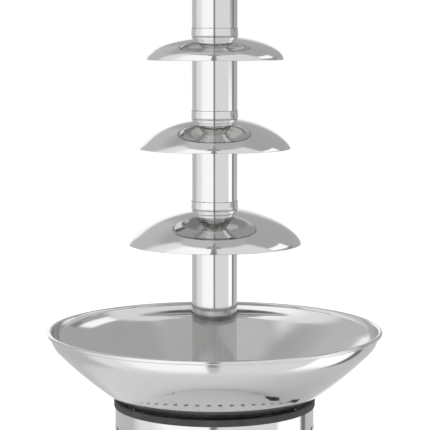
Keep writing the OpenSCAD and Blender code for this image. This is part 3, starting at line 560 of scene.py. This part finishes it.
# screw's end cap: a short straight edge, then a quarter ellipse up to the axis
def capOutline(size):
    low, radius, chamfer = size["low"], size["radius"], size["chamfer"]
    a = np.linspace(0, np.pi / 2, size["rows"])
    up = low + size["edge"] + (size["high"] - size["edge"]) * np.sin(a)
    cap = np.stack([radius * np.cos(a), up], -1)
    return np.concatenate([[[0, low], [radius - chamfer, low], [radius, low + chamfer]], cap])


piece("capSkin", *turned(capOutline(capSizes), capSizes["columns"], closed=False), "auger",
      "polished_steel", "dome", ["auger_cap"])

flightSizes = dict(low=182.2, high=700.2, pitch=38.0, thick=2.2, inner=9.9, outer=20.5, soft=0.7,
                   stepsATurn=60)


# screw flight: a rounded strip section carried up a helix, one pitch a turn
def flightGrid(size):
    turns = (size["high"] - size["low"] - size["thick"]) / size["pitch"]
    a = np.linspace(0, turns * 2 * np.pi, int(turns * size["stepsATurn"]))[:, None]
    section = softened([(size["inner"], 0), (size["outer"], 0), (size["outer"], size["thick"]),
                        (size["inner"], size["thick"])], size["soft"])
    r, h = section[None, :, 0], section[None, :, 1]
    z = size["low"] + h + size["pitch"] * a / (2 * np.pi)
    points = np.stack([r * np.cos(a), r * np.sin(a), z], -1)
    rows, columns = points.shape[:2]
    return points.reshape(-1, 3), gridFaces(rows, columns) + endFaces(rows, columns)


piece("flightSkin", *flightGrid(flightSizes), "auger", "polished_steel", "tube", ["auger_flight"],
      sharp=40)
print("crown and screw made")


sealSizes = dict(outer=120.5, low=150.0, high=157.7, skirtLow=142.0, skirt=117.9, gap=0.1, soft=0.9,
                 columns=256)


# seal: a flat band that the bowl sits in, with a skirt inside the shell
def sealOutline(size):
    line = bowlLine(bowlSizes, 0.0)
    inside = float(np.interp(size["high"], line[::-1, 1], line[::-1, 0])) + size["gap"]
    return softened([(size["skirt"], size["skirtLow"]), (size["skirt"], size["low"]),
                     (size["outer"], size["low"]), (size["outer"], size["high"]),
                     (inside, size["high"]), (inside, size["skirtLow"])], size["soft"])


piece("sealBand", *turned(sealOutline(sealSizes), sealSizes["columns"]), "base", "black_rubber", "seal",
      ["bowl_seal"])

footSizes = dict(circle=95.0, high=14.0, across=28.0, taper=2.0, toe=1.2, hole=2.7, well=6.0, seat=7.0,
                 groove=0.7, groovePitch=3.5, grooveLow=1.5, grooveHigh=12.5, soft=0.4, softRows=5,
                 rows=40, columns=72)


# foot: a tapered plug with a screw well below and three shallow grooves, a power of a cosine of height,
# round its side
def footOutline(size):
    hole, well, seat, high = size["hole"], size["well"], size["seat"], size["high"]
    z = np.linspace(0.0, high, size["rows"])
    wave = np.maximum(0, np.cos(z * 2 * np.pi / size["groovePitch"])) ** 6
    side = size["across"] / 2 - size["taper"] * (z / high) ** 2
    side = side - size["groove"] * wave * (z > size["grooveLow"]) * (z < size["grooveHigh"])
    side = side - size["toe"] * np.maximum(0, 1 - z / size["toe"]) ** 2
    bore = softened([(hole, high), (hole, seat), (well, seat), (well, 0.0)], size["soft"],
                    size["softRows"])
    middle = bore[size["softRows"]:-size["softRows"]]
    return np.concatenate([np.stack([side, z], -1), [[hole, high]], middle, [[well, 0.0]]])


def fourFeet(size):
    points, faces = turned(footOutline(size), size["columns"])
    places = np.radians(45 + 90 * np.arange(4))
    return joined([(points + size["circle"] * np.array([math.cos(a), math.sin(a), 0]), faces)
                   for a in places])


piece("rubberFeet", *fourFeet(footSizes), "base", "black_rubber", "rubber", ["rubber_feet"])
print("seal and feet made")


# ring of a rounded rectangle: straight sides and quarter circles, worked out from one angle
def roundedRing(halfWide, halfTall, corner, steps):
    a = (np.arange(4 * steps) + 0.5) * 2 * np.pi / (4 * steps)
    quarter = np.floor(a / (np.pi / 2))
    t = (a - quarter * np.pi / 2) / (np.pi / 2) * (steps / (steps - 1)) - 0.5 / (steps - 1)
    turn = (quarter + np.clip(t, 0, 1)) * np.pi / 2
    diagonal = (quarter + 0.5) * np.pi / 2
    return np.stack([np.sign(np.cos(diagonal)) * (halfWide - corner) + corner * np.cos(turn),
                     np.sign(np.sin(diagonal)) * (halfTall - corner) + corner * np.sin(turn)], -1)


# rounded rectangles (wide, tall, corner, level) stacked into rows of points
def stackedRings(rings, steps):
    return np.concatenate([
        np.column_stack([roundedRing(wide / 2, tall / 2, corner, steps), np.full(4 * steps, level)])
        for wide, tall, corner, level in rings])


# rounded block: rings of the rectangle from its foot up, drawn in along a quarter circle at the top
def roundedBlock(wide, tall, low, high, corner, edge, steps=8, edgeRows=7, leastCorner=0.05):
    insets = [(0.0, low)] + [(edge * (1 - math.cos(t)), high - edge + edge * math.sin(t))
                             for t in np.linspace(0, np.pi / 2, edgeRows)]
    rings = [(wide - 2 * inset, tall - 2 * inset, max(corner - inset, leastCorner), level)
             for inset, level in insets]
    points = np.concatenate([stackedRings(rings, steps), [[0, 0, high]]])
    columns = 4 * steps
    last = (len(rings) - 1) * columns
    top = [[last + j, last + (j + 1) % columns, last + columns] for j in range(columns)]
    return points, gridFaces(len(rings), columns) + top + [list(range(columns))[::-1]]


knobSizes = dict(out=121.6, height=controlHeight, across=40.0, rim=2.0, bevelIn=3.0, bevelUp=5.0,
                 topIn=5.0, skirt=6.0, axis=0.01, bore=3.02, boreDeep=5.5, soft=0.5, flutes=36,
                 fluteDeep=0.45, fluteIn=4.0, fluteFade=3.0, fluteRise=0.8, columns=288, top=17.0,
                 gripWide=9.0, gripLong=30.0, gripSunk=1.0, gripCorner=4.2, gripEdge=2.2, gripSteps=12)


# knob skirt: a lathe outline whose side is fluted, radius less the cube of a cosine of the angle
def knobSkirt(size):
    r, axis, bore, deep = size["across"] / 2, size["axis"], size["bore"], size["boreDeep"]
    outline = softened([(r, 0), (r, size["rim"]), (r - size["bevelIn"], size["bevelUp"]),
                        (r - size["topIn"], size["skirt"]), (axis, size["skirt"]), (axis, deep),
                        (bore, deep), (bore, 0)], size["soft"])
    a = np.arange(size["columns"]) * 2 * np.pi / size["columns"]
    radius, up = outline[:, :1], outline[:, 1:]
    fade = np.clip((radius - (r - size["fluteIn"])) / size["fluteFade"], 0, 1)
    flute = size["fluteDeep"] * fade * np.clip(up / size["fluteRise"], 0, 1)
    radius = radius - flute * np.abs(np.cos(a * size["flutes"] / 2)) ** 3
    points = np.stack(np.broadcast_arrays(radius * np.cos(a), radius * np.sin(a), up), -1)
    return points.reshape(-1, 3), gridFaces(len(outline), size["columns"], closeRows=True)


# points about the knob's axis, put in their place on the side of the base
def onKnob(points):
    return onBase(points + [0, 0, knobSizes["out"]], controlTurn, knobSizes["height"])


def knobParts(size):
    grip = roundedBlock(size["gripWide"], size["gripLong"], size["skirt"] - size["gripSunk"],
                        size["top"], size["gripCorner"], size["gripEdge"], size["gripSteps"])
    points, faces = joined([knobSkirt(size), grip])
    return onKnob(points), faces


pointerSizes = dict(wide=1.4, tall=11.0, low=16.6, high=17.12, corner=0.6, edge=0.1)
pointerUp = 8.0  # mm from the knob's axis to the middle of its pointer
piece("heatKnob", *knobParts(knobSizes), "heat_knob", "black_plastic", "black", ["thermostat_knob"],
      sharp=40)
points, faces = roundedBlock(**pointerSizes)
piece("knobPointer", onKnob(points + [0, pointerUp, 0]), faces, "heat_knob", "white_plastic", "print")

dialSizes = dict(shell=shellRadius, height=controlHeight, lift=0.01, ring=25.0, long=2.6, wide=0.55,
                 thick=0.08, corner=0.3, edge=0.02, steps=4, count=28, sweep=270.0, major=7,
                 majorLong=1.5, numbers=7, numberRing=30.0, numberTall=4.4, numberSteps=4)


# flat (sideways, up, thickness) points are bent round the shell: angle = sideways / radius
def wrapped(points, size):
    p = np.asarray(points, float)
    a = p[:, 0] / size["shell"] + math.radians(controlTurn)
    r = size["shell"] + size["lift"] + p[:, 2]
    return np.stack([r * np.sin(a), -r * np.cos(a), size["height"] + p[:, 1]], -1)


# angle of one of several steps round the dial, from its left end over the top to its right end
def dialAngle(size, step, steps):
    return math.radians(90 + size["sweep"] / 2 - step * size["sweep"] / steps)


# dial ticks: one thin bar for each step round the knob, every seventh longer
def dialTicks(size):
    bar, faces = roundedBlock(1.0, 1.0, 0.0, size["thick"], size["corner"], size["edge"], size["steps"])
    parts = []
    for i in range(size["count"] + 1):
        t = dialAngle(size, i, size["count"])
        longer = 1.0 if i % size["major"] else size["majorLong"]
        along = size["ring"] + bar[:, 1] * size["long"] * longer
        side = bar[:, 0] * size["wide"]
        flat = np.stack([along * math.cos(t) + side * math.sin(t),
                         along * math.sin(t) - side * math.cos(t), bar[:, 2]], -1)
        parts.append((wrapped(flat, size), faces))
    return joined(parts)


# dial numbers: the built-in lettering made a mesh, then bent round the shell
def dialNumbers(size):
    parts = []
    for i in range(size["numbers"]):
        curve = bpy.data.curves.new("dialNumber", "FONT")
        curve.body = str(i)
        curve.align_x, curve.align_y = "CENTER", "CENTER"
        curve.size, curve.extrude = size["numberTall"], size["thick"] / 2
        curve.resolution_u = size["numberSteps"]
        holder = bpy.data.objects.new("dialNumber", curve)
        mesh = bpy.data.meshes.new_from_object(holder)
        flat = np.empty(len(mesh.vertices) * 3)
        mesh.vertices.foreach_get("co", flat)
        t = dialAngle(size, i, size["numbers"] - 1)
        middle = [size["numberRing"] * math.cos(t), size["numberRing"] * math.sin(t), size["thick"] / 2]
        faces = [list(face.vertices) for face in mesh.polygons]
        parts.append((wrapped(flat.reshape(-1, 3) + middle, size), faces))
        bpy.data.objects.remove(holder)
        bpy.data.meshes.remove(mesh)
        bpy.data.curves.remove(curve)
    return joined(parts)


piece("dialTicks", *dialTicks(dialSizes), "base", "black_plastic", "dialPrint")
piece("dialNumbers", *dialNumbers(dialSizes), "base", "black_plastic", "dialPrint")
print("knob and dial made")


housingSizes = dict(shell=shellRadius, room=(18.0, 25.4), roomLow=115.0, corner=0.6, mouth=0.8,
                    mouthRise=0.4, bezel=(25.0, 31.0), bezelThick=2.0, bezelSoft=1.6, bezelDrop=0.8,
                    bezelCorner=2.2, gap=0.1, body=(21.8, 27.8), deep=25.0, steps=8, softRows=6)


# switch housing: rounded rectangles from the well's floor up its wall, over the bezel and back along
# the body
def housingGrid(size):
    seat = size["shell"] + size["gap"]
    top, corner, drop = seat + size["bezelThick"], size["corner"], size["bezelDrop"]
    rings = [(*size["room"], corner, size["roomLow"])]
    for t in np.linspace(0, np.pi / 2, size["softRows"]):
        out = size["mouth"] * (1 - math.cos(t))
        rings.append((size["room"][0] + out, size["room"][1] + out, corner,
                      top - size["mouthRise"] * (1 - math.sin(t))))
    for t in np.linspace(0, np.pi / 2, size["softRows"]):
        short = size["bezelSoft"] * (1 - math.sin(t))
        rings.append((size["bezel"][0] - short, size["bezel"][1] - short,
                      size["bezelCorner"] - drop * (1 - math.sin(t)), top - drop * (1 - math.cos(t))))
    rings += [(*size["bezel"], size["bezelCorner"], seat), (*size["body"], corner, seat),
              (*size["body"], corner, size["shell"] - size["deep"])]
    rows, columns = len(rings), 4 * size["steps"]
    return stackedRings(rings, size["steps"]), gridFaces(rows, columns) + endFaces(rows, columns)


rockerSizes = dict(turn=38.0, height=controlHeight, pivot=119.2, tilt=8.0, wide=17.6, half=11.8,
                   halfThick=3.0, middle=(0.0, 0.6), soft=0.7, inset=0.5, insetRows=5,
                   face=[(11.8, 4.2), (5.9, 3.45), (0.0, 3.0), (-5.9, 3.45), (-11.8, 4.2),
                         (-11.2, -2.0), (11.2, -2.0)])


# rocker: a shallow-V section (up, outwards) carried across, drawn in over the last half millimetre at
# each side
def rockerGrid(size):
    section, middle = softened(size["face"], size["soft"]), np.array(size["middle"])
    half, inset = size["wide"] / 2, size["inset"]
    t = np.linspace(0, np.pi / 2, size["insetRows"])
    draw, edge = inset * (1 - np.sin(t)), inset * (1 - np.cos(t)) - half
    draw, side = np.concatenate([draw, draw[::-1]]), np.concatenate([edge, -edge[::-1]])
    shrink = 1 - draw[:, None, None] / np.array([size["half"], size["halfThick"]])
    ring = middle + (section[None] - middle) * shrink
    points = np.concatenate([np.broadcast_to(side[:, None, None], ring.shape[:2] + (1,)), ring], -1)
    rows, columns = points.shape[:2]
    return points.reshape(-1, 3), gridFaces(rows, columns) + endFaces(rows, columns)


markSizes = dict(bar=(1.1, 5.2), corner=0.3, edge=0.05, steps=4, ringIn=1.9, ringOut=2.6, columns=40,
                 up=6.6, out=3.55, slope=5.0, sunk=0.3, thick=0.12)


# marks on a rocker: a bar on the upper half and a ring on the lower, laid on the face's slope
def rockerMarks(size):
    low, high = -size["sunk"], size["thick"]
    bar = roundedBlock(*size["bar"], low, high, size["corner"], size["edge"], size["steps"])
    ring = turned([(size["ringIn"], low), (size["ringOut"], low), (size["ringOut"], high),
                   (size["ringIn"], high)], size["columns"])
    parts = []
    for (points, faces), way in ((bar, 1), (ring, -1)):
        lean = math.radians(way * size["slope"])
        v, w = points[:, 1], points[:, 2]
        flat = np.stack([points[:, 0], way * size["up"] + v * math.cos(lean) - w * math.sin(lean),
                         size["out"] + v * math.sin(lean) + w * math.cos(lean)], -1)
        parts.append((flat, faces))
    return joined(parts)


# points of a rocker at its resting tilt, on the side of the base
def tilted(points, size, turn):
    a = math.radians(size["tilt"])
    up = points[:, 1] * math.cos(a) - points[:, 2] * math.sin(a)
    out = points[:, 1] * math.sin(a) + points[:, 2] * math.cos(a)
    return onBase(np.stack([points[:, 0], up, out + size["pivot"]], -1), turn, size["height"])


points, faces = housingGrid(housingSizes)
housings = joined([(onBase(points, controlTurn + side * rockerSizes["turn"], controlHeight), faces)
                   for side in (-1, 1)])
piece("switchHousings", *housings, "base", "black_plastic", "black", ["switch_frames"], sharp=40)
for side, label in ((-1, "power"), (1, "motor")):
    body, turn = label + "_switch", controlTurn + side * rockerSizes["turn"]
    points, faces = rockerGrid(rockerSizes)
    piece(label + "Rocker", tilted(points, rockerSizes, turn), faces, body, "black_plastic", "black",
          [label + "_rocker"], sharp=40)
    points, faces = rockerMarks(markSizes)
    piece(label + "Marks", tilted(points, rockerSizes, turn), faces, body, "white_plastic", "print")

lampSizes = dict(height=103.0, shell=shellRadius, radius=4.9, depth=16.0, barrelIn=0.3, neckIn=0.25,
                 neckUp=1.6, domeUp=1.7, domeHigh=2.7, rows=16, flange=6.2, flangeThick=1.6,
                 flangeIn=0.2, gap=0.1, soft=0.5, columns=72)


# lamp: a tinted dome on a straight barrel; powers of the cosine flatten the dome and draw in its foot
def lampLensOutline(size):
    r, shell, low = size["radius"], size["shell"], size["shell"] - size["depth"]
    a = np.linspace(0, np.pi / 2, size["rows"])
    dome = np.stack([r * np.cos(a) ** 0.8 - size["neckIn"] * np.cos(a) ** 4,
                     shell + size["domeUp"] + size["domeHigh"] * np.sin(a)], -1)
    return np.concatenate([[[0, low], [r - size["barrelIn"], low],
                            [r - size["neckIn"], shell + size["neckUp"]]], dome])


# the dark collar that holds the lamp in the shell
def lampCollarOutline(size):
    low, inner = size["shell"] + size["gap"], size["radius"] - size["flangeIn"]
    high = low + size["flangeThick"]
    return softened([(inner, low), (size["flange"], low), (size["flange"], high), (inner, high)],
                    size["soft"])


# a lathe whose axis points out of the side of the base: the outline's height becomes its distance
def sideLathe(outline, size, closed):
    points, faces = turned(outline, size["columns"], closed)
    return onBase(points, controlTurn, size["height"]), faces


piece("lampGlass", *sideLathe(lampLensOutline(lampSizes), lampSizes, False), "base", "lamp_amber",
      "lamp", ["pilot_lamp"])
piece("lampCollar", *sideLathe(lampCollarOutline(lampSizes), lampSizes, True), "base", "black_plastic",
      "black", ["pilot_lamp"])
print("switches and lamp made")


# camera fitted to the photograph: long lens, a little above the tower's middle and tilted down
cameraSizes = dict(lens=138.14, sensor=36.0, place=(0.0006, -1.946, 0.594), tilt=0.1105)
lens = bpy.data.cameras.new("camera")
lens.lens, lens.sensor_width = cameraSizes["lens"], cameraSizes["sensor"]
viewer = bpy.data.objects.new("camera", lens)
lookDown = Matrix.Rotation(math.pi / 2 - cameraSizes["tilt"], 4, "X")
viewer.matrix_world = Matrix.Translation(cameraSizes["place"]) @ lookDown
scene.collection.objects.link(viewer)
scene.camera = viewer

# studio seen in the metal: panels by bearing from the camera (+ to the right) and height, in degrees;
# a later panel lies over those before it
studioSizes = dict(room=0.45, ground=0.6, groundRamp=(-12, 4), ambient=0.72, panels=[
    dict(bearing=(-172, -112), high=(62, 100), level=0.6, soft=(8, 10), softHigh=(8, 1)),
    dict(bearing=(-122, -4), high=(62, 100), level=0.6, soft=(10, 4), softHigh=(8, 1)),
    dict(bearing=(4, 172), high=(62, 100), level=0.5, soft=(4, 8), softHigh=(8, 1)),
    dict(bearing=(-170, -60), high=(-75, 56), level=0.58, soft=(10, 20), softHigh=(10, 18)),
    dict(bearing=(-112, -4), high=(-75, 68), level=0.9, soft=(20, 4), softHigh=(10, 8)),
    dict(bearing=(-82, -4), high=(-75, 67), level=1.18, soft=(30, 4), softHigh=(10, 8)),
    dict(bearing=(2, 92), high=(-75, 69), level=0.84, soft=(4, 14), softHigh=(10, 8)),
    dict(bearing=(82, 124), high=(14, 38), level=1.22, soft=(8, 6), softHigh=(5, 5)),
    dict(bearing=(72, 100), high=(-11, 1), level=1.3, soft=(8, 3), softHigh=(2, 5)),
    dict(bearing=(100, 115), high=(-11, 6), level=0.2, soft=(4, 5), softHigh=(2, 5)),
    dict(bearing=(74, 118), high=(-75, -10), level=1.3, soft=(8, 3), softHigh=(10, 2)),
    dict(bearing=(118, 132), high=(-75, -10), level=0.2, soft=(3, 5), softHigh=(10, 2)),
    dict(bearing=(112, 130), high=(4, 18), level=0.28, soft=(4, 4), softHigh=(3, 3)),
    dict(bearing=(-6, 4), high=(-40, 100), level=0.26, soft=(4, 4), softHigh=(10, 6)),
    dict(bearing=(-21, 18), high=(58, 74), level=0.36, soft=(6, 6), softHigh=(5, 6)),
    dict(bearing=(-200, -146), high=(-10, 25), level=1.12, soft=(8, 10), softHigh=(6, 8)),
    dict(bearing=(164, 200), high=(-75, 24), level=0.96, soft=(10, 8), softHigh=(10, 20)),
])


# 1 between two ends, eased to 0 over a width inside each
def window(value, ends, soft):
    (low, high), (softLow, softHigh) = ends, soft
    return value.ease(low, low + softLow) * (1 - value.ease(high - softHigh, high))


def studioLevel(w, size):
    x, y, z = w.node("ShaderNodeTexCoord", out="Generated").xyz()
    toDegrees = 180 / math.pi
    bearing = w.math("ARCTAN2", x, -y) * toDegrees
    high = w.math("ARCSINE", z) * toDegrees
    level = size["ground"] + (size["room"] - size["ground"]) * high.ease(*size["groundRamp"])
    for panel in size["panels"]:
        mask = window(bearing, panel["bearing"], panel["soft"])
        mask = mask * window(high, panel["high"], panel["softHigh"])
        level = level + mask * (panel["level"] - level)
    return level


scene.cycles.glossy_bounces = 8  # mirrors that face each other
world = bpy.data.worlds.new("studio")
world.use_nodes = True
world.node_tree.nodes.clear()
scene.world = world
w = Wire(world.node_tree)
camera, glass, diffuse = rays(w, "Is Camera Ray", "Is Transmission Ray", "Is Diffuse Ray")
seen = studioLevel(w, studioSizes)
seen = seen + diffuse * (studioSizes["ambient"] - seen)
seen = seen + w.math("MAXIMUM", camera, glass) * (1 - seen)
backdrop = w.node("ShaderNodeBackground", None, {"Color": (1, 1, 1, 1), "Strength": seen})
w.node("ShaderNodeOutputWorld", None, {"Surface": backdrop})

# floor: a pale disc that keeps the shadow; beyond its middle the metal looks past it into the studio
floorSizes = dict(radius=6.0, first=0.1, rings=14, columns=96, sunk=0.2, near=0.23, far=0.4, tone=0.86,
                  spread=0.01, cloud=3.0, cloudDetail=3.0, lift=0.46)


def floorMaterial(size):
    made, w = newMaterial("paleFloor")
    camera, glossy, glass = rays(w, "Is Camera Ray", "Is Glossy Ray", "Is Transmission Ray")
    place = objectPlace(w)
    x, y, _ = place.xyz()
    away = (x * x + y * y) ** 0.5
    cloud = noise(w, place, size["cloud"], size["cloudDetail"])
    low, high = ([size["tone"] + part * size["spread"]] * 3 for part in (-1, 1))
    matte = w.node("ShaderNodeBsdfDiffuse", None, {"Color": mixColor(w, cloud, low, high)})
    strength = w.math("MAXIMUM", camera, glass) * size["lift"]
    lift = w.node("ShaderNodeEmission", None, {"Color": (1, 1, 1, 1), "Strength": strength})
    both = w.node("ShaderNodeAddShader", None, {0: matte, 1: lift})
    past = glossy * away.ease(size["near"], size["far"])
    clear = w.node("ShaderNodeBsdfTransparent")
    mixed = w.node("ShaderNodeMixShader", None, {0: past, 1: both, 2: clear})
    w.node("ShaderNodeOutputMaterial", None, {"Surface": mixed})
    return made


# floor grid: rings from the edge in to the middle, point = (r sin a, -r cos a, just under the feet)
def floorDisc(size):
    radii = np.concatenate([[0.0], np.geomspace(size["first"], size["radius"], size["rings"])]) / mm
    line = np.stack([radii, np.full(len(radii), -size["sunk"])], -1)
    return turned(line[::-1], size["columns"], closed=False)


points, faces = floorDisc(floorSizes)
mesh = bpy.data.meshes.new("floor")
mesh.from_pydata(points * mm, [], faces)
mesh.materials.append(floorMaterial(floorSizes))
floor = bpy.data.objects.new("floor", mesh)
scene.collection.objects.link(floor)

softboxSizes = dict(place=(-1.3, -1.6, 2.6), size=2.4, power=34.0, aim=(0.0, 0.0, 0.3))
keyData = bpy.data.lights.new("softbox", "AREA")
keyData.shape, keyData.size, keyData.energy = "DISK", softboxSizes["size"], softboxSizes["power"]
keyLight = bpy.data.objects.new("softbox", keyData)
place, aim = Vector(softboxSizes["place"]), Vector(softboxSizes["aim"])
facing = (aim - place).to_track_quat("-Z", "Y").to_matrix().to_4x4()
keyLight.matrix_world = Matrix.Translation(place) @ facing
keyLight.visible_glossy = False
scene.collection.objects.link(keyLight)
print("studio set")
